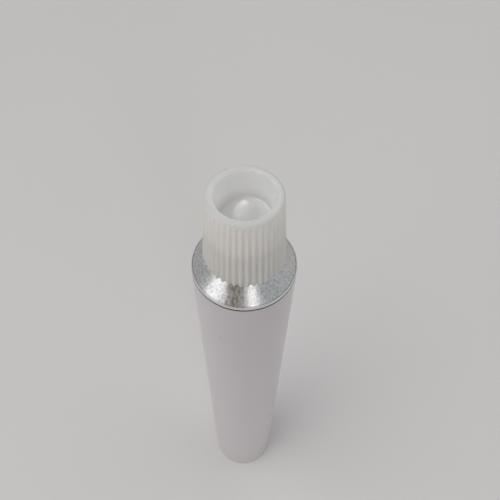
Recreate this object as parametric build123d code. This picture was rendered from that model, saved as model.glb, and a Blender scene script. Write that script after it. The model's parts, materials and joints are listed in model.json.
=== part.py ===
from build123d import *
import math
import os

# Collapsible aluminium tube, empty and open at its foot, with a ribbed screw cap that carries a piercing spike.
# Millimetres and degrees. The tube stands on its open foot at Z = 0, its axis is Z and its cap is at the top.

# Tube, one impact-extruded piece
tube_diameter = 22.0
body_length = 137.0  # open foot to the start of the rounded corner below the shoulder
body_wall = 0.12
corner_radius = 0.8  # between the body and the shoulder
corner_step = 0.08  # height of the rounded corner above the cone beside it
shoulder_angle = 45.0  # slope of the cone above the horizontal
shoulder_wall = 0.6
neck_diameter = 10.8  # over the thread, whose fine form is left to the visual model
neck_length = 8.1  # shoulder to the flat end of the nozzle
neck_fillet = 0.6
neck_bore = 7.2
nozzle_chamfer = 0.5
nozzle_end_wall = 0.9
orifice_diameter = 5.2
membrane_depth = 0.4  # below the flat end of the nozzle
membrane_wall = 0.15

# Cap, one moulding
cap_foot_diameter = 16.8  # over the ribs
cap_foot_land = 0.75  # width of the flat foot ring, ribs included
rib_count = 40
rib_flats = 6  # short flats that draw the wave of each rib
rib_foot_depth = 0.5
rib_top_depth = 0.2
plain_band = 0.8  # without ribs, below the rim
rim_wall = 1.4
rim_round = 0.6
recess_depth = 6.75
recess_draft = 4.0
recess_fillet = 0.6
cap_floor = 1.0
spike_drop = 1.95  # rim to the tip of the spike
spike_tip_diameter = 0.8

# Clearances between the two pieces
thread_clearance = 0.15  # radial, cap bore round the neck
shoulder_gap = 0.7  # vertical, cap above the shoulder
piercing_clearance = 0.27  # radial, recess round the neck when the cap is turned over to pierce
spike_clearance = 0.25  # radial, spike in the orifice

# Places that follow from the sizes above
tube_radius = tube_diameter / 2
body_bore_radius = tube_radius - body_wall
neck_radius = neck_diameter / 2
neck_bore_radius = neck_bore / 2
orifice_radius = orifice_diameter / 2
slope = math.radians(shoulder_angle)
out_across = math.sin(slope)
out_up = math.cos(slope)
corner_end = (tube_radius - corner_radius * (1 - out_across), body_length + corner_radius * out_up)
cone_start = (corner_end[0] - corner_step * out_across, corner_end[1] - corner_step * out_up)


def shoulder_height(radius):
    """Height of the cone's outer face at a radius."""
    return cone_start[1] + (cone_start[0] - radius) * math.tan(slope)


def shoulder_bore_height(radius):
    """Height of the cone's inner face at a radius."""
    return shoulder_height(radius) - shoulder_wall / out_up


neck_foot = shoulder_height(neck_radius)
nozzle_end = neck_foot + neck_length
cap_foot_radius = cap_foot_diameter / 2
cap_foot = shoulder_height(cap_foot_radius - cap_foot_land) + shoulder_gap
cap_bore_radius = neck_radius + thread_clearance
recess_floor = nozzle_end + cap_floor
cap_top = recess_floor + recess_depth
recess_radius = neck_radius + piercing_clearance
rim_radius = recess_radius + rim_wall
rib_top = cap_top - plain_band
cap_lean = (cap_foot_radius - rim_radius) / (cap_top - cap_foot)
rib_top_radius = rim_radius + cap_lean * plain_band
spike_radius = orifice_radius - spike_clearance
spike_tip_radius = spike_tip_diameter / 2
spike_tip = cap_top - spike_drop


def turned(section):
    """Solid of revolution about Z from a half section drawn with the radius across and the height up."""
    return revolve(Plane.XZ * section, Axis.Z)


def rounded(section, radius, height, size):
    """The half section with the corner at a radius and height rounded."""
    corner = section.vertices().sort_by_distance((radius, height, 0))[0]
    return fillet(corner, size)


def make_tube():
    """Thin body, cone shoulder and neck, closed by a membrane in the nozzle."""
    outside = Polyline((tube_radius, 0), (tube_radius, body_length))
    corner = TangentArc((tube_radius, body_length), corner_end, tangent=(0, 1))
    upper = Polyline(
        corner_end,
        cone_start,
        (neck_radius, neck_foot),
        (neck_radius, nozzle_end - nozzle_chamfer),
        (neck_radius - nozzle_chamfer, nozzle_end),
        (orifice_radius, nozzle_end),
        (orifice_radius, nozzle_end - membrane_depth),
        (0, nozzle_end - membrane_depth),
        (0, nozzle_end - membrane_depth - membrane_wall),
        (orifice_radius, nozzle_end - membrane_depth - membrane_wall),
        (orifice_radius, nozzle_end - nozzle_end_wall),
        (neck_bore_radius, nozzle_end - nozzle_end_wall),
        (neck_bore_radius, shoulder_bore_height(neck_bore_radius)),
        (body_bore_radius, shoulder_bore_height(body_bore_radius)),
        (body_bore_radius, 0),
        (tube_radius, 0),
    )
    section = make_face([outside, corner, upper])
    section = rounded(section, neck_radius, neck_foot, neck_fillet)
    return turned(section)


def around(radius, turn):
    """Point at a radius and at a share of a full turn."""
    return (radius * math.cos(math.tau * turn), radius * math.sin(math.tau * turn))


def rib_section(crest_radius, depth, height):
    """Level section through the ribs: even waves, with a valley at the front."""
    points = []
    for step in range(rib_count * rib_flats):
        share_below_crest = (1 + math.cos(math.tau * step / rib_flats)) / 2
        radius = crest_radius - depth * share_below_crest
        points.append(around(radius, step / (rib_count * rib_flats)))
    return Pos(0, 0, height) * make_face(Polyline(*points, close=True))


def make_ribbed_skirt():
    """Solid cone with ribs that deepen towards its foot."""
    foot = rib_section(cap_foot_radius, rib_foot_depth, cap_foot)
    top = rib_section(rib_top_radius, rib_top_depth, rib_top)
    return loft([foot, top], ruled=True)


def make_rim():
    """Solid top of the cone, with a rounded edge and no ribs."""
    section = make_face(Polyline(
        (0, rib_top),
        (rib_top_radius, rib_top),
        (rim_radius, cap_top),
        (0, cap_top),
        close=True,
    ))
    section = rounded(section, rim_radius, cap_top, rim_round)
    return turned(section)


def make_cap_bore():
    """Space under the cap: the bore for the neck, opened out to clear the shoulder."""
    land_radius = cap_foot_radius - cap_foot_land
    section = make_face(Polyline(
        (0, cap_foot),
        (land_radius, cap_foot),
        (cap_bore_radius, shoulder_height(cap_bore_radius) + shoulder_gap),
        (cap_bore_radius, nozzle_end),
        (0, nozzle_end),
        close=True,
    ))
    return turned(section)


def make_recess():
    """Space in the top of the cap, round the spike."""
    recess_floor_radius = recess_radius - recess_depth * math.tan(math.radians(recess_draft))
    walls = Polyline(
        (spike_radius, recess_floor),
        (recess_floor_radius, recess_floor),
        (recess_radius, cap_top),
        (0, cap_top),
        (0, spike_tip),
        (spike_tip_radius, spike_tip),
    )
    spike_side = TangentArc((spike_radius, recess_floor), (spike_tip_radius, spike_tip), tangent=(0, 1))
    section = make_face([walls, spike_side])
    section = rounded(section, recess_floor_radius, recess_floor, recess_fillet)
    return turned(section)


def make_cap():
    """Ribbed cone, hollowed from below for the neck and from above round the spike."""
    return make_ribbed_skirt() + make_rim() - make_cap_bore() - make_recess()


os.makedirs("parts", exist_ok=True)
export_step(make_tube(), "parts/collapsible_tube.step")
export_step(make_cap(), "parts/piercing_cap.step")
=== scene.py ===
import json
import math

import bpy
import numpy as np
from mathutils import Matrix, Vector


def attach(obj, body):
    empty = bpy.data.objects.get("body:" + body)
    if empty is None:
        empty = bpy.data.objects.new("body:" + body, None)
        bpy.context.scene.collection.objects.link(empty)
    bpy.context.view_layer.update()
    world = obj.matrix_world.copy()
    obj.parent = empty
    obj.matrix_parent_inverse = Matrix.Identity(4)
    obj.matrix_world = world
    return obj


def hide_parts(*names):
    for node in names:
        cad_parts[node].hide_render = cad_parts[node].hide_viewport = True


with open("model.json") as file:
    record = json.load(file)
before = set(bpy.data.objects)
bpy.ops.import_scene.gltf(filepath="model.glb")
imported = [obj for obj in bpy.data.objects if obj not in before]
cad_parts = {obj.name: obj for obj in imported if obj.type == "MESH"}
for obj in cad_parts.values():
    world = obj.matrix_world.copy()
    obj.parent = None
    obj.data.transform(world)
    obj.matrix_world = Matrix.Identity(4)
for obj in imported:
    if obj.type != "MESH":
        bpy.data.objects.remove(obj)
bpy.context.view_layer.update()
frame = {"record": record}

# Collapsible aluminium tube with a piercing cap. Sizes are in millimetres and angles in degrees, unless a
# comment says otherwise. The front is -Y, and an azimuth counts from the front to the right.
MM = 0.001
FRONT = -90.0  # angle of the front about Z, counted from +X

# Tube, with the body's own sizes from the record
mount_sizes = {mount["name"]: mount["dims"] for mount in frame["record"]["mounts"]}
tube_radius = mount_sizes["body_outside"]["r_mm"]
body_length = mount_sizes["body_outside"]["length_mm"]
body_bore_radius = mount_sizes["open_foot"]["r_mm"]
foot_edge = 0.02
corner_radius = 0.8
corner_step = 0.08  # height of the rounded corner above the cone beside it
shoulder_slope = 45.0
shoulder_wall = 0.6
neck_radius = 5.4  # over the thread
neck_length = 8.1
neck_fillet = 0.6
neck_bore_radius = 3.6
nozzle_chamfer = 0.5
nozzle_edge_width = 0.06
nozzle_edge_drop = 0.04
nozzle_end_wall = 0.9
orifice_radius = 2.6
orifice_edge = 0.1
membrane_depth = 0.4
membrane_wall = 0.15
membrane_edge_width = 0.12
membrane_edge_height = 0.08

# Crease round the body, just below the corner, where the lacquer ends
crease_top = body_length - 0.08
crease_foot = body_length - 0.60
crease_depth = 0.06
crease_slope = 0.08  # height of each sloping side

# Cap
cap_foot_radius = 8.4  # over the ribs
cap_foot_land = 0.75
rib_count = 40
rib_foot_depth = 0.5
rib_top_depth = 0.2
rib_foot_round = 0.12
rib_foot_break = 0.035  # halfway round the foot of the ribs
rib_run_out = 0.4  # height over which the ribs die out
plain_band = 0.8
recess_depth = 6.75
recess_draft = 4.0
recess_fillet = 0.6
rim_wall = 1.4
rim_round = 0.6
rim_inner_round = 0.35
cap_floor = 1.0
spike_drop = 1.95
spike_tip_radius = 0.4
spike_tip_round = ((0, 0), (0.16, 0.012), (0.29, 0.06))  # radius and drop of the points that round the tip
spike_foot_round = 0.3
bore_end_ring = 2.5  # spare ring in the flat end of the bore

# Clearances between the tube and the cap
thread_clearance = 0.15
piercing_clearance = 0.27
spike_clearance = 0.25
shoulder_gap = 0.7

# Thread on the neck, and its grooves in the cap
thread_pitch = 1.6
thread_depth = 0.42
thread_half_width = 0.40  # share of the pitch, as the flank is
thread_flank = 0.20
thread_run_in = 0.3  # share of a turn
neck_thread_start = 1.5  # above the foot of the neck
neck_thread_turns = 3.2
cap_thread_start = 3.6  # above the foot of the cap
cap_thread_turns = 3.0

# Fineness of the meshes
tube_columns = 240
columns_per_rib = 12
spike_steps = 24
sharp_edge = 32.0
same_place = 1e-6

# Places that follow from the sizes above
slope = math.radians(shoulder_slope)
out_across = math.sin(slope)
out_up = math.cos(slope)
corner_end = (tube_radius - corner_radius * (1 - out_across), body_length + corner_radius * out_up)
cone_start = (corner_end[0] - corner_step * out_across, corner_end[1] - corner_step * out_up)


def shoulder_height(radius):
    """Height of the shoulder's outer face at a radius."""
    return cone_start[1] + (cone_start[0] - radius) * math.tan(slope)


def shoulder_bore_height(radius):
    """Height of the shoulder's inner face at a radius."""
    return shoulder_height(radius) - shoulder_wall / out_up


def towards(azimuth, elevation=0.0):
    """Direction at an azimuth and at an elevation above the floor."""
    turn = math.radians(azimuth)
    rise = math.radians(elevation)
    return math.cos(rise) * math.sin(turn), -math.cos(rise) * math.cos(turn), math.sin(rise)


neck_foot = shoulder_height(neck_radius)
nozzle_end = neck_foot + neck_length
cap_bore_radius = neck_radius + thread_clearance
cap_foot = shoulder_height(cap_foot_radius - cap_foot_land) + shoulder_gap
recess_floor = nozzle_end + cap_floor
cap_top = recess_floor + recess_depth
recess_radius = neck_radius + piercing_clearance
recess_floor_radius = recess_radius - recess_depth * math.tan(math.radians(recess_draft))
rim_radius = recess_radius + rim_wall
rib_top = cap_top - plain_band
cap_lean = (cap_foot_radius - rim_radius) / (cap_top - cap_foot)
spike_radius = orifice_radius - spike_clearance
spike_tip = cap_top - spike_drop


# Turned skins

def straight(start, end, steps):
    """Points from start to end."""
    start = np.array(start)
    way = np.array(end) - start
    return [tuple(start + way * k / steps) for k in range(steps + 1)]


def round_off(before, corner, after, radius, steps=6):
    """Points of a round of that radius between two straight runs that meet in a corner."""
    before, corner, after = (np.array(point, float) for point in (before, corner, after))
    back = (before - corner) / np.linalg.norm(before - corner)
    on = (after - corner) / np.linalg.norm(after - corner)
    half = math.acos(float(np.clip(back @ on, -1, 1))) / 2
    middle = corner + (back + on) / np.linalg.norm(back + on) * radius / math.sin(half)
    start = corner + back * radius / math.tan(half)
    end = corner + on * radius / math.tan(half)
    points = []
    for k in range(steps + 1):
        way = (start - middle) * (1 - k / steps) + (end - middle) * k / steps
        points.append(tuple(middle + way / np.linalg.norm(way) * radius))
    return points


def rows_along(runs):
    """Rows of a skin as (radius, height, relief), and the finish of the band from each row to the next."""
    rows = []
    finishes = []
    for finish, points, relief in runs:
        for radius, height in points:
            if rows and abs(rows[-1][0] - radius) + abs(rows[-1][1] - height) < same_place:
                rows[-1] = (radius, height, relief or rows[-1][2])
                continue
            if rows:
                finishes.append(finish)
            rows.append((radius, height, relief))
    return rows, finishes


def turned_skin(name, runs, columns):
    """Mesh turned about Z. A run is a finish number, its points as (radius, height) and a relief, which adds
    to the radius at each turn (an array of angles in radians) and height. A row on the axis is one point."""
    rows, finishes = rows_along(runs)
    turns = np.arange(columns) * math.tau / columns
    ends = np.append(turns, turns[0] + math.tau) / math.tau
    length = np.cumsum([0] + [math.dist(row[:2], after[:2]) for row, after in zip(rows, rows[1:])])
    length = length / length[-1]
    vertices = []
    firsts = []
    for radius, height, relief in rows:
        firsts.append(len(vertices))
        if radius < same_place:
            vertices.append((0, 0, height * MM))
            continue
        radii = np.full(columns, radius) + (relief(turns, height) if relief else 0)
        heights = np.full(columns, height * MM)
        vertices.extend(zip(radii * np.cos(turns) * MM, radii * np.sin(turns) * MM, heights))
    faces = []
    face_finishes = []
    corners = []
    for row, finish in enumerate(finishes):
        here = firsts[row]
        there = firsts[row + 1]
        low = length[row]
        high = length[row + 1]
        for k in range(columns):
            n = (k + 1) % columns
            u = ends[k]
            v = ends[k + 1]
            if rows[row][0] < same_place:
                faces.append((here, there + k, there + n))
                corners.extend((((u + v) / 2, low), (u, high), (v, high)))
            elif rows[row + 1][0] < same_place:
                faces.append((here + k, there, here + n))
                corners.extend(((u, low), ((u + v) / 2, high), (v, low)))
            else:
                faces.append((here + k, there + k, there + n, here + n))
                corners.extend(((u, low), (u, high), (v, high), (v, low)))
            face_finishes.append(finish)
    mesh = bpy.data.meshes.new(name)
    mesh.from_pydata(vertices, [], faces)
    mesh.polygons.foreach_set("material_index", face_finishes)
    mesh.polygons.foreach_set("use_smooth", [True] * len(faces))
    mesh.uv_layers.new(name="OFBake").uv.foreach_set("vector", np.array(corners, np.float32).ravel())
    mesh.set_sharp_from_angle(angle=math.radians(sharp_edge))
    mesh.update()
    piece = bpy.data.objects.new(name, mesh)
    bpy.context.scene.collection.objects.link(piece)
    return piece


def thread_ridge(turns, height, first, count):
    """Height, 0 to 1, of the ridge of a right-hand thread from the height first, for count turns."""
    along = (height - first) / thread_pitch - turns / math.tau
    nearest = np.round(along)
    ridge = np.clip((thread_half_width - np.abs(along - nearest)) / thread_flank, 0, 1)
    wound = nearest + turns / math.tau
    runs_in = np.clip(wound / thread_run_in, 0, 1) * np.clip((count - wound) / thread_run_in, 0, 1)
    return ridge * ridge * (3 - 2 * ridge) * runs_in


def neck_thread(turns, height):
    """Metal taken off the neck between the ridges of its thread."""
    ridge = thread_ridge(turns, height, neck_foot + neck_thread_start, neck_thread_turns)
    return thread_depth * (ridge - 1)


def cap_thread(turns, height):
    """Grooves that the thread leaves in the bore of the cap."""
    ridge = thread_ridge(turns, height, cap_foot + cap_thread_start, cap_thread_turns)
    return thread_depth * (1 - ridge)


def cap_ribs(turns, height):
    """Depth of the cap's outer face below the crests of its ribs."""
    share = np.clip((rib_top - height) / (rib_top - cap_foot), 0, 1)
    depth = rib_top_depth + (rib_foot_depth - rib_top_depth) * share
    return -depth * (1 + np.cos(turns * rib_count)) / 2


# Order of the finishes on the tube, and the one finish of the cap
LACQUER = 0
BARE = 1
INSIDE = 2
PLASTIC = 0


def make_tube():
    """Skin of the tube: nozzle, neck with thread, shoulder, body, open foot and inside."""
    membrane_top = nozzle_end - membrane_depth
    chamfer_top = neck_radius - nozzle_chamfer
    neck_top = (neck_radius, nozzle_end - nozzle_chamfer)
    nozzle = [
        (0, membrane_top),
        (orifice_radius / 2, membrane_top),
        (orifice_radius - membrane_edge_width, membrane_top),
        (orifice_radius, membrane_top + membrane_edge_height),
        (orifice_radius, nozzle_end - orifice_edge),
        (orifice_radius + orifice_edge, nozzle_end),
        (chamfer_top - nozzle_edge_width, nozzle_end),
        (chamfer_top + nozzle_edge_drop, nozzle_end - nozzle_edge_drop),
        neck_top,
    ]
    neck = straight(neck_top, (neck_radius, neck_foot + neck_fillet / 2), steps=84)
    root = round_off((neck_radius, nozzle_end), (neck_radius, neck_foot), cone_start, neck_fillet)
    cone = straight(root[-1], cone_start, steps=26)
    corner = []
    for lean in np.radians(np.linspace(90 - shoulder_slope, 0, num=15)):
        across = tube_radius - corner_radius * (1 - math.cos(lean))
        corner.append((across, body_length + corner_radius * math.sin(lean)))
    crease = [
        (tube_radius, crease_top),
        (tube_radius - crease_depth, crease_top - crease_slope),
        (tube_radius - crease_depth, crease_foot + crease_slope),
        (tube_radius, crease_foot),
    ]
    body = straight((tube_radius, crease_foot), (tube_radius, foot_edge), steps=46)
    foot = [(tube_radius, foot_edge), (tube_radius - foot_edge, 0), (body_bore_radius, 0)]
    bore_top = (body_bore_radius, shoulder_bore_height(body_bore_radius))
    neck_bore = (neck_bore_radius, shoulder_bore_height(neck_bore_radius))
    inside = straight((body_bore_radius, 0), bore_top, steps=40)
    inside += straight(bore_top, neck_bore, steps=10)
    inside += straight(neck_bore, (neck_bore_radius, nozzle_end - nozzle_end_wall), steps=6)
    inside += [
        (orifice_radius, nozzle_end - nozzle_end_wall),
        (orifice_radius, membrane_top - membrane_wall),
        (0, membrane_top - membrane_wall),
    ]
    runs = [
        (BARE, nozzle, None),
        (BARE, neck, neck_thread),
        (BARE, root + cone + corner + crease, None),
        (LACQUER, body, None),
        (BARE, foot, None),
        (INSIDE, inside, None),
    ]
    return turned_skin("tube_skin", runs, tube_columns)


def spike_points():
    """Points of the spike, from its rounded tip down its bowed side to the round at its foot."""
    rise = spike_tip - recess_floor
    reach = spike_radius - spike_tip_radius
    bow = (reach * reach + rise * rise) / (2 * reach)
    points = [(radius, spike_tip - drop) for radius, drop in spike_tip_round]
    for k in range(1, spike_steps - 1):
        up = rise * (1 - k / spike_steps)
        points.append((spike_radius - bow + math.sqrt(bow * bow - up * up), recess_floor + up))
    spike_foot = (spike_radius, recess_floor)
    return points + round_off(points[-1], spike_foot, (recess_floor_radius, recess_floor), spike_foot_round)


def make_cap():
    """Skin of the cap: spike, recess, rim, ribbed side, foot and threaded bore."""
    wall_foot = (recess_floor_radius, recess_floor)
    wall_top = (recess_radius, cap_top)
    recess = round_off((spike_radius, recess_floor), wall_foot, wall_top, recess_fillet, steps=10)
    recess += straight(recess[-1], wall_top, steps=8)[:-1]
    rim_edge = (rim_radius, cap_top)
    skirt_foot = (cap_foot_radius, cap_foot)
    rim = round_off(wall_foot, wall_top, rim_edge, rim_inner_round)
    rim += round_off(wall_top, rim_edge, skirt_foot, rim_round, steps=9)
    rim += [(rim_radius + cap_lean * plain_band, rib_top)]
    ribs_start = (rim_radius + cap_lean * (plain_band + rib_run_out), rib_top - rib_run_out)
    ribs_end = (cap_foot_radius - cap_lean * rib_foot_round, cap_foot + rib_foot_round)
    ribs = straight(ribs_start, ribs_end, steps=36)
    ribs += [(cap_foot_radius - rib_foot_break, cap_foot + rib_foot_break)]
    ribs += [(cap_foot_radius - rib_foot_round, cap_foot)]
    land = (cap_foot_radius - cap_foot_land, cap_foot)
    bore_foot = (cap_bore_radius, shoulder_height(cap_bore_radius) + shoulder_gap)
    bore_end = (cap_bore_radius, nozzle_end)
    runs = [
        (PLASTIC, spike_points() + recess + rim, None),
        (PLASTIC, ribs, cap_ribs),
        (PLASTIC, straight(land, bore_foot, steps=4), None),
        (PLASTIC, straight(bore_foot, bore_end, steps=80), cap_thread),
        (PLASTIC, [bore_end, (bore_end_ring, nozzle_end), (0, nozzle_end)], None),
    ]
    return turned_skin("cap_moulding", runs, columns_per_rib * rib_count)


# Nodes

def feed(tree, socket, value):
    """Links an output to a socket, or sets the socket to a number, a triple or a colour."""
    if isinstance(value, bpy.types.NodeSocket):
        tree.links.new(value, socket)
    elif socket.type == "RGBA":
        socket.default_value = (*value, 1)
    else:
        socket.default_value = value


def add_node(tree, kind, inputs, **properties):
    """A new node, with its properties and then its inputs, by name or number."""
    node = tree.nodes.new(kind)
    for name, value in properties.items():
        setattr(node, name, value)
    for name, value in inputs.items():
        feed(tree, node.inputs[name], value)
    return node


def sums(tree, operation, first, second=0.0):
    """Result of one sum on outputs or numbers."""
    return add_node(tree, "ShaderNodeMath", {0: first, 1: second}, operation=operation).outputs[0]


def times(tree, first, second):
    """Product of outputs or numbers."""
    return sums(tree, "MULTIPLY", first, second)


def compared(tree, operation, first, second):
    """Distance between two places, or dot product of two directions."""
    node = add_node(tree, "ShaderNodeVectorMath", {0: first, 1: second}, operation=operation)
    return node.outputs["Value"]


def ramp(tree, value, low, high, start=0.0, end=1.0):
    """A value brought smoothly from the range low to high to the range start to end."""
    inputs = {"Value": value, "From Min": low, "From Max": high, "To Min": start, "To Max": end}
    node = add_node(tree, "ShaderNodeMapRange", inputs, interpolation_type="SMOOTHSTEP")
    return node.outputs["Result"]


def band(tree, value, low, low_full, high_full, high):
    """1 between the two full values, falling smoothly to 0 at low and at high."""
    return times(tree, ramp(tree, value, low, low_full), ramp(tree, value, high, high_full))


def spread(tree, pattern, start=0.0, end=1.0):
    """A noise brought from the middle of its range to the range start to end."""
    return ramp(tree, pattern, 0.3, 0.7, start, end)


def blend(tree, share, under, over, way="MIX"):
    """Colour from under to over, or to their product, by a share from 0 to 1."""
    inputs = {0: share, 6: under, 7: over}
    return add_node(tree, "ShaderNodeMix", inputs, data_type="RGBA", blend_type=way).outputs[2]


def tint(tree, colour, over, mask, strength=1.0):
    """A colour with another over it where a mask is 1, to that strength."""
    return blend(tree, times(tree, mask, strength), colour, over)


def noise(tree, at, scale, detail=2.0):
    """Soft noise at a place, with that many patches to a unit."""
    inputs = {"Vector": at, "Scale": scale, "Detail": detail}
    return add_node(tree, "ShaderNodeTexNoise", inputs).outputs["Fac"]


def object_place(tree):
    """Place on the piece, in metres."""
    return tree.nodes.new("ShaderNodeTexCoord").outputs["Object"]


def parts_of(tree, place):
    """The three parts of a place or a direction."""
    return add_node(tree, "ShaderNodeSeparateXYZ", {0: place}).outputs


def radius_of(tree, x, y):
    """Distance from the axis."""
    return sums(tree, "SQRT", sums(tree, "ADD", times(tree, x, x), times(tree, y, y)))


def in_millimetres(tree, length):
    """A length on the piece, which Blender has in metres."""
    return times(tree, length, 1 / MM)


def new_group(name, inputs, outputs):
    """An empty node group with number sockets: its tree, its inputs and its outputs."""
    tree = bpy.data.node_groups.new(name, "ShaderNodeTree")
    for title, value in inputs.items():
        socket = tree.interface.new_socket(title, in_out="INPUT", socket_type="NodeSocketFloat")
        socket.default_value = value
    for title in outputs:
        tree.interface.new_socket(title, in_out="OUTPUT", socket_type="NodeSocketFloat")
    return tree, tree.nodes.new("NodeGroupInput").outputs, tree.nodes.new("NodeGroupOutput").inputs


def use_group(tree, group, inputs):
    """Outputs of a node group placed in a material with its own values."""
    return add_node(tree, "ShaderNodeGroup", inputs, node_tree=group).outputs


def new_finish(name):
    """A new material, its tree and its shader."""
    material = bpy.data.materials.new(name)
    material.use_nodes = True
    return material, material.node_tree, material.node_tree.nodes["Principled BSDF"]


def add_relief(tree, shader, height, depth):
    """Fine relief on a shader, of that depth."""
    node = add_node(tree, "ShaderNodeBump", {"Height": height, "Distance": depth * MM})
    feed(tree, shader.inputs["Normal"], node.outputs["Normal"])


# Effects that the finishes share

def make_tool_lines():
    """Fine lines left by a tool: rings where Along is large, lines up the wall where Around is large."""
    tree, given, result = new_group("tool_lines", {"Around": 1.0, "Along": 9000.0}, ["Lines"])
    x, y, z = parts_of(tree, object_place(tree))
    radius = radius_of(tree, x, y)
    line = add_node(tree, "ShaderNodeCombineXYZ", {
        "X": times(tree, sums(tree, "DIVIDE", x, radius), given["Around"]),
        "Y": times(tree, sums(tree, "DIVIDE", y, radius), given["Around"]),
        "Z": times(tree, sums(tree, "SUBTRACT", z, radius), given["Along"]),
    })
    feed(tree, result["Lines"], noise(tree, line.outputs[0], scale=1.0))
    return tree


def make_skin_grain():
    """Uneven patches, fine grain and sparse specks of a used surface, as counts to the metre. The size of a
    speck is a share of its cell, and the last number is the share of the cells that have one."""
    inputs = {"Patches": 60.0, "Grains": 900.0, "Specks": 200.0, "Speck Size": 0.04, "Speck Share": 0.3}
    tree, given, result = new_group("skin_grain", inputs, ["Patches", "Grains", "Specks"])
    at = object_place(tree)
    feed(tree, result["Patches"], noise(tree, at, given["Patches"], detail=4.0))
    feed(tree, result["Grains"], noise(tree, at, given["Grains"]))
    cells = add_node(tree, "ShaderNodeTexVoronoi", {"Vector": at, "Scale": given["Specks"]}).outputs
    draws = add_node(tree, "ShaderNodeSeparateColor", {0: cells["Color"]}).outputs
    size = times(tree, given["Speck Size"], draws["Red"])
    inside = sums(tree, "LESS_THAN", cells["Distance"], size)
    chosen = sums(tree, "LESS_THAN", draws["Green"], given["Speck Share"])
    feed(tree, result["Specks"], times(tree, inside, chosen))
    return tree


# White lacquer

lacquer_grain = {"Patches": 70.0, "Grains": 900.0, "Specks": 190.0, "Speck Size": 0.05}
lacquer_lines = {"Around": 150.0, "Along": 9.0}
lacquer_dull = (0.536, 0.490, 0.513)
lacquer_clean = (0.580, 0.540, 0.563)
lacquer_grey = (0.42, 0.41, 0.41)
dirt = (0.30, 0.27, 0.25)
foot_grey_height = 1.4  # of the greyer lacquer at the foot
thin_height = 0.5  # of the greyer lacquer below the crease
dirt_mark_azimuth = -28.0
dirt_mark_height = body_length - 15.2
dirt_mark_edge = 0.7
dirt_mark_core = 0.2
lacquer_roughness = (0.31, 0.36)
lacquer_line_roughness = 0.04
lacquer_line_relief = 1.5  # against a grain of 1
lacquer_relief = 0.005


def make_white_lacquer(tool_lines, skin_grain):
    """Satin white coat of the body under a clear gloss, greyer towards the foot and at its upper end, with
    sparse specks and one mark of dirt."""
    material, tree, shader = new_finish("white_lacquer")
    at = object_place(tree)
    height = in_millimetres(tree, parts_of(tree, at)["Z"])
    grain = use_group(tree, skin_grain, lacquer_grain)
    lines = use_group(tree, tool_lines, lacquer_lines)["Lines"]
    coat = blend(tree, grain["Patches"], lacquer_dull, lacquer_clean)
    # Greyer towards the foot, over its lowest 1.4 mm.
    near_foot = ramp(tree, height, foot_grey_height, 0.0, end=0.4)
    thin = ramp(tree, height, crease_foot - thin_height, crease_foot, end=0.35)
    coat = tint(tree, coat, lacquer_grey, sums(tree, "MAXIMUM", near_foot, thin))
    coat = tint(tree, coat, dirt, grain["Specks"], strength=0.45)
    mark = (Vector(towards(dirt_mark_azimuth)) * tube_radius + Vector((0, 0, dirt_mark_height))) * MM
    from_mark = in_millimetres(tree, compared(tree, "DISTANCE", at, mark))
    coat = tint(tree, coat, dirt, ramp(tree, from_mark, dirt_mark_edge, dirt_mark_core), strength=0.35)
    feed(tree, shader.inputs["Base Color"], coat)
    roughness = spread(tree, grain["Patches"], *lacquer_roughness)
    roughness = sums(tree, "ADD", roughness, times(tree, lines, lacquer_line_roughness))
    feed(tree, shader.inputs["Roughness"], roughness)
    shader.inputs["Coat Weight"].default_value = 1.0
    shader.inputs["Coat Roughness"].default_value = 0.29
    relief = sums(tree, "ADD", grain["Grains"], times(tree, lines, lacquer_line_relief))
    add_relief(tree, shader, relief, lacquer_relief)
    return material


# Bare aluminium, with radii and heights from where a tone begins to where it is full

metal_grain = {"Patches": 2400.0, "Grains": 1900.0, "Specks": 2900.0, "Speck Size": 0.46, "Speck Share": 0.25}
metal_rings = {"Around": 0.8, "Along": 9000.0}
brown_streak_lines = {"Around": 24.0, "Along": 520.0}
metal_dull = (0.54, 0.545, 0.55)
metal_bright = (0.75, 0.755, 0.76)
metal_speck = (0.22, 0.17, 0.12)
streak_brown = (0.26, 0.18, 0.10)
neck_metal = (0.66, 0.665, 0.67)
painted_bead_highlight = (0.88, 0.885, 0.89)
painted_dark_line = (0.28, 0.27, 0.26)
painted_crease_shade = (0.05, 0.05, 0.053)
brown_streaks_azimuth = -14.0
brown_streaks_edge = 0.30  # radians to each side, as the core is
brown_streaks_core = 0.12
brown_streaks_beside = 0.14  # share of the brown streaks that goes on all round
brown_streak_levels = (0.48, 0.61)  # of the streaks
brown_streaks_radii = (neck_radius + 0.8, neck_radius + 2.4)
clean_neck_radii = (neck_radius + 0.6, neck_radius + 0.1)
bead_radii = (tube_radius - 0.22, tube_radius - 0.12)
bead_heights = (body_length - 7.0, body_length - 6.9)
dark_line_radii = (tube_radius - 0.48, tube_radius - 0.38, tube_radius - 0.32, tube_radius - 0.24)
crease_heights = (crease_foot - 0.01, crease_foot + 0.05, crease_top - 0.05, crease_top + 0.02)
metal_roughness = (0.29, 0.35)
metal_ring_relief = 0.5  # against a grain of 1
metal_relief = 0.016


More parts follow.
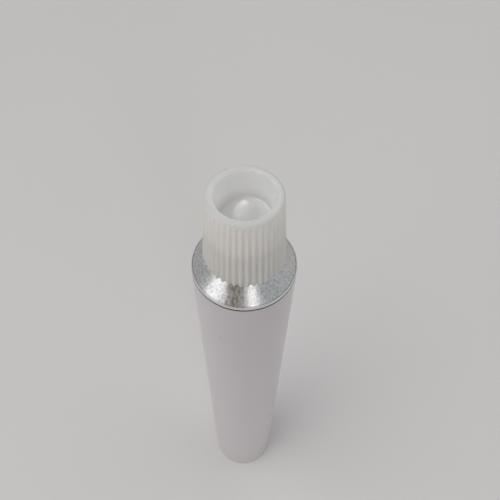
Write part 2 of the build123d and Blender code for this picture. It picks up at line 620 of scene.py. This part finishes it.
def make_bare_aluminium(tool_lines, skin_grain):
    """Bare turned metal: mottled and specked on the shoulder, with brown streaks, strongest at its front;
    cleaner on the neck, with a painted highlight on the bead, and painted shade in a dark line inside the
    bead and in the crease."""
    material, tree, shader = new_finish("bare_aluminium")
    x, y, z = parts_of(tree, object_place(tree))
    height = in_millimetres(tree, z)
    radius = in_millimetres(tree, radius_of(tree, x, y))
    grain = use_group(tree, skin_grain, metal_grain)
    rings = use_group(tree, tool_lines, metal_rings)["Lines"]
    streaks = use_group(tree, tool_lines, brown_streak_lines)["Lines"]
    metal = blend(tree, spread(tree, grain["Patches"]), metal_dull, metal_bright)
    metal = tint(tree, metal, metal_speck, grain["Specks"], strength=0.55)
    # Brown streaks on the shoulder, strongest just left of the front and weak all round.
    turn = sums(tree, "SUBTRACT", sums(tree, "ARCTAN2", y, x), math.radians(FRONT + brown_streaks_azimuth))
    browning = ramp(tree, sums(tree, "ABSOLUTE", turn), brown_streaks_edge, brown_streaks_core, start=brown_streaks_beside)
    browning = times(tree, browning, ramp(tree, streaks, *brown_streak_levels))
    browning = times(tree, browning, ramp(tree, radius, *brown_streaks_radii))
    metal = tint(tree, metal, streak_brown, browning, strength=0.60)
    metal = tint(tree, metal, neck_metal, ramp(tree, radius, *clean_neck_radii), strength=0.75)
    # Painted highlight: the rounded corner of the bead is made much brighter.
    bead = times(tree, ramp(tree, radius, *bead_radii), ramp(tree, height, *bead_heights))
    metal = tint(tree, metal, painted_bead_highlight, bead, strength=0.75)
    # Painted shade: a dark line on the cone just inside the bead.
    metal = tint(tree, metal, painted_dark_line, band(tree, radius, *dark_line_radii), strength=0.4)
    # Painted shade: the crease is made nearly black.
    metal = tint(tree, metal, painted_crease_shade, band(tree, height, *crease_heights))
    feed(tree, shader.inputs["Base Color"], metal)
    shader.inputs["Metallic"].default_value = 1.0
    feed(tree, shader.inputs["Roughness"], spread(tree, rings, *metal_roughness))
    relief = sums(tree, "ADD", times(tree, rings, metal_ring_relief), grain["Grains"])
    add_relief(tree, shader, relief, metal_relief)
    return material


# Drawn aluminium

drawn_grain = {"Patches": 120.0, "Grains": 2000.0, "Specks": 400.0, "Speck Size": 0.08}
drawn_lines = {"Around": 220.0, "Along": 12.0}
drawn_dull = (0.58, 0.585, 0.59)
drawn_bright = (0.70, 0.705, 0.71)
drawn_speck = (0.30, 0.30, 0.30)
drawn_roughness = (0.32, 0.44)
drawn_grain_relief = 0.4  # against lines of 1
drawn_relief = 0.010


def make_drawn_aluminium(tool_lines, skin_grain):
    """Bare inside of the tube, with long lines from the press."""
    material, tree, shader = new_finish("drawn_aluminium")
    grain = use_group(tree, skin_grain, drawn_grain)
    lines = use_group(tree, tool_lines, drawn_lines)["Lines"]
    metal = blend(tree, spread(tree, grain["Patches"]), drawn_dull, drawn_bright)
    metal = tint(tree, metal, drawn_speck, grain["Specks"], strength=0.4)
    feed(tree, shader.inputs["Base Color"], metal)
    shader.inputs["Metallic"].default_value = 1.0
    feed(tree, shader.inputs["Roughness"], spread(tree, lines, *drawn_roughness))
    relief = sums(tree, "ADD", lines, times(tree, grain["Grains"], drawn_grain_relief))
    add_relief(tree, shader, relief, drawn_relief)
    return material


# White plastic, with radii and heights from where a tone begins to where it is full

plastic_grain = {"Patches": 160.0, "Grains": 5200.0, "Specks": 260.0, "Speck Size": 0.05}
rim_dull = (0.652, 0.658, 0.65)
rim_clean = (0.692, 0.698, 0.69)
recess_painted_light = (0.97, 0.967, 0.96)
recess_floor_painted_light = (0.82, 0.817, 0.81)
# Tones of the side: painted darker over the neck and lighter above it.
low_side_dull = (0.67, 0.658, 0.628)
low_side_clean = (0.71, 0.698, 0.668)
high_side_dull = (0.755, 0.738, 0.705)
high_side_clean = (0.795, 0.778, 0.745)
dust_and_shade_colour = (0.55, 0.53, 0.50)
plastic_speck = (0.45, 0.42, 0.38)
recess_wall_radii = (recess_radius - 0.02, recess_radius - 0.37)
recess_floor_radii = (recess_radius - 0.42, recess_radius - 0.77)
spike_radii = (spike_radius + 0.25, spike_radius - 0.15)
side_radii = (rim_radius - 1.07, rim_radius - 0.27)
side_heights = (cap_top - 0.1, rib_top)
above_neck_heights = (nozzle_end - 2.6, nozzle_end + 1.0)
valley_reach = 0.2  # share of a rib's pitch, to each side
dust_and_shade_shares = (0.14, 0.38)  # at the top of the ribs and at their foot
clear_radii = (recess_radius - 2.07, recess_radius - 0.87, rim_radius - 1.07, rim_radius - 0.27)
clear_heights = (recess_floor + 0.15, recess_floor + 0.55)
milky_heights = (cap_top - 4.67, cap_top - 1.47)
milky_shares = (0.05, 0.25)  # at those heights
light_reach = 14.0  # how far light spreads in the plastic
light_colours = (1.0, 0.95, 0.9)  # how far red, green and blue spread, as shares of that
plastic_roughness = (0.36, 0.44)
plastic_relief = 0.004


def make_white_plastic(skin_grain):
    """White moulded plastic of the cap: fine satin grain, with painted light in the recess, less on its
    floor, and on the spike, the side painted lighter above the neck and darker over it, and a little dust and
    painted shade between the ribs. Light spreads in the recess's wall and the upper side."""
    material, tree, shader = new_finish("white_plastic")
    x, y, z = parts_of(tree, object_place(tree))
    height = in_millimetres(tree, z)
    radius = in_millimetres(tree, radius_of(tree, x, y))
    grain = use_group(tree, skin_grain, plastic_grain)
    resin = blend(tree, grain["Patches"], rim_dull, rim_clean)
    # Painted light in the recess: its wall and the spike are made far whiter than the rim, against the shade
    # there, and its floor a little less white, as painted shade.
    resin = tint(tree, resin, recess_painted_light, ramp(tree, radius, *recess_wall_radii))
    resin = tint(tree, resin, recess_floor_painted_light, ramp(tree, radius, *recess_floor_radii))
    resin = tint(tree, resin, recess_painted_light, ramp(tree, radius, *spike_radii))
    side = times(tree, ramp(tree, radius, *side_radii), ramp(tree, height, *side_heights))
    # Painted light and shade on the side: whiter above the neck, for light that passes through the plastic,
    # and darker over the neck, for the shade of the metal behind it.
    low_side = blend(tree, grain["Patches"], low_side_dull, low_side_clean)
    high_side = blend(tree, grain["Patches"], high_side_dull, high_side_clean)
    above_neck = ramp(tree, height, *above_neck_heights)
    resin = tint(tree, resin, blend(tree, above_neck, low_side, high_side), side)
    # Dust and painted shade in the valleys between the ribs, more towards the foot, where the ribs are
    # deeper.
    ribs_round = times(tree, sums(tree, "ARCTAN2", y, x), rib_count / math.tau)
    valley = ramp(tree, sums(tree, "PINGPONG", ribs_round, 0.5), valley_reach, 0.0)
    dust_and_shade_mask = times(tree, times(tree, valley, side), ramp(tree, height, rib_top, cap_foot, *dust_and_shade_shares))
    resin = tint(tree, resin, dust_and_shade_colour, dust_and_shade_mask)
    resin = tint(tree, resin, plastic_speck, grain["Specks"], strength=0.3)
    feed(tree, shader.inputs["Base Color"], resin)
    feed(tree, shader.inputs["Roughness"], spread(tree, grain["Patches"], *plastic_roughness))
    clear = times(tree, band(tree, radius, *clear_radii), ramp(tree, height, *clear_heights))
    milky = times(tree, side, ramp(tree, height, *milky_heights, *milky_shares))
    feed(tree, shader.inputs["Subsurface Weight"], sums(tree, "MAXIMUM", clear, milky))
    shader.inputs["Subsurface Radius"].default_value = light_colours
    shader.inputs["Subsurface Scale"].default_value = light_reach * MM
    add_relief(tree, shader, grain["Grains"], plastic_relief)
    return material


# Table top

floor_reach = 3000.0
floor_dull = (0.695, 0.683, 0.678)
floor_clean = (0.725, 0.713, 0.708)


def make_floor():
    """Pale matt table top."""
    mesh = bpy.data.meshes.new("floor")
    reach = floor_reach * MM
    corners = [(-reach, -reach, 0), (reach, -reach, 0), (reach, reach, 0), (-reach, reach, 0)]
    mesh.from_pydata(corners, [], [(0, 1, 2, 3)])
    floor = bpy.data.objects.new("floor", mesh)
    bpy.context.scene.collection.objects.link(floor)
    material, tree, shader = new_finish("pale_table")
    patches = noise(tree, object_place(tree), scale=5, detail=3.0)
    feed(tree, shader.inputs["Base Color"], blend(tree, patches, floor_dull, floor_clean))
    shader.inputs["Roughness"].default_value = 0.6
    mesh.materials.append(material)


# Room light, with ranges of the parts of a direction from where a tone begins to where it is full

left_wall = (0.41, 0.415, 0.42)
right_wall = (0.51, 0.515, 0.52)
front_wall = (0.36, 0.33, 0.315)
ceiling = (0.22, 0.22, 0.22)
front_shade = (0.36, 0.28, 0.20)
right_wall_right = (-0.7, 0.7)
front_wall_back = (-0.5, -0.9)
ceiling_up = (0.05, 0.95)
front_shade_back = (0.1, -0.6)
front_shade_up = (0.43, 0.63)

# Soft lights of the room: azimuth, elevation, cosines of the angles at the edge and where full, and colour
room_lights = [
    (58, 24, 0.84, 0.98, (0.46, 0.485, 0.50)),
    (150, 58, 0.80, 0.98, (0.66, 0.66, 0.67)),
    (100, 46, 0.86, 0.98, (0.86, 0.87, 0.88)),
    (-98, 47, 0.87, 0.98, (0.92, 0.93, 0.95)),
    (-58, 64, 0.89, 0.99, (2.60, 2.57, 2.54)),
]


def make_room():
    """Soft room light: grey walls under a darker ceiling, dim high in front, with a bright light high at the
    front left and paler ones at both sides and behind."""
    world = bpy.data.worlds.new("room")
    bpy.context.scene.world = world
    world.use_nodes = True
    tree = world.node_tree
    way = tree.nodes.new("ShaderNodeTexCoord").outputs["Generated"]
    right, back, up = parts_of(tree, way)
    walls = blend(tree, ramp(tree, right, *right_wall_right), left_wall, right_wall)
    walls = blend(tree, ramp(tree, back, *front_wall_back), walls, front_wall)
    room = blend(tree, ramp(tree, up, *ceiling_up), walls, ceiling)
    high_front = times(tree, ramp(tree, back, *front_shade_back), ramp(tree, up, *front_shade_up))
    room = blend(tree, high_front, room, front_shade, "MULTIPLY")
    for azimuth, elevation, edge, full, colour in room_lights:
        near = compared(tree, "DOT_PRODUCT", way, towards(azimuth, elevation))
        room = blend(tree, ramp(tree, near, edge, full), room, colour)
    feed(tree, tree.nodes["Background"].inputs["Color"], room)


def add_lamp(name, place, width, height, power):
    """A soft rectangular lamp, of that power in watts, that points at the shoulder."""
    lamp = bpy.data.lights.new(name, "AREA")
    lamp.shape = "RECTANGLE"
    lamp.size = width * MM
    lamp.size_y = height * MM
    lamp.energy = power
    holder = bpy.data.objects.new(name, lamp)
    holder.location = Vector(place) * MM
    aim = Vector((0, 0, body_length)) - Vector(place)
    holder.rotation_euler = aim.to_track_quat("-Z", "Y").to_euler()
    bpy.context.scene.collection.objects.link(holder)


# Camera

camera_place = (0, -56.76, 223.85)
camera_turn = -1.13
camera_dip = 55.34  # below the horizon
camera_roll = 1.31
sensor_width = 36.0
focal_length = 36.0
nearest_seen = 5.0
farthest_seen = 20000.0


def add_camera():
    """Camera close above the cap, as in the photograph."""
    lens = bpy.data.cameras.new("camera")
    lens.sensor_width = sensor_width
    lens.lens = focal_length
    lens.clip_start = nearest_seen * MM
    lens.clip_end = farthest_seen * MM
    camera = bpy.data.objects.new("camera", lens)
    bpy.context.scene.collection.objects.link(camera)
    turn = Matrix.Rotation(math.radians(camera_turn), 4, "Z")
    tilt = Matrix.Rotation(math.radians(90 - camera_dip), 4, "X")
    roll = Matrix.Rotation(math.radians(camera_roll), 4, "Z")
    camera.matrix_world = Matrix.Translation(Vector(camera_place) * MM) @ turn @ tilt @ roll
    bpy.context.scene.camera = camera


# The part and its studio

tool_lines = make_tool_lines()
skin_grain = make_skin_grain()

tube = make_tube()
tube.data.materials.append(make_white_lacquer(tool_lines, skin_grain))
tube.data.materials.append(make_bare_aluminium(tool_lines, skin_grain))
tube.data.materials.append(make_drawn_aluminium(tool_lines, skin_grain))
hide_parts("collapsible_tube")
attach(tube, "tube")

cap = make_cap()
cap.data.materials.append(make_white_plastic(skin_grain))
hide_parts("piercing_cap")
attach(cap, "cap")

make_floor()
make_room()
add_lamp("window", place=(-811, -543, 530), width=600, height=320, power=1.08)
add_lamp("strip", place=(274, -944, 627), width=235, height=300, power=0.84)
add_camera()
bpy.context.scene.view_settings.view_transform = "Standard"
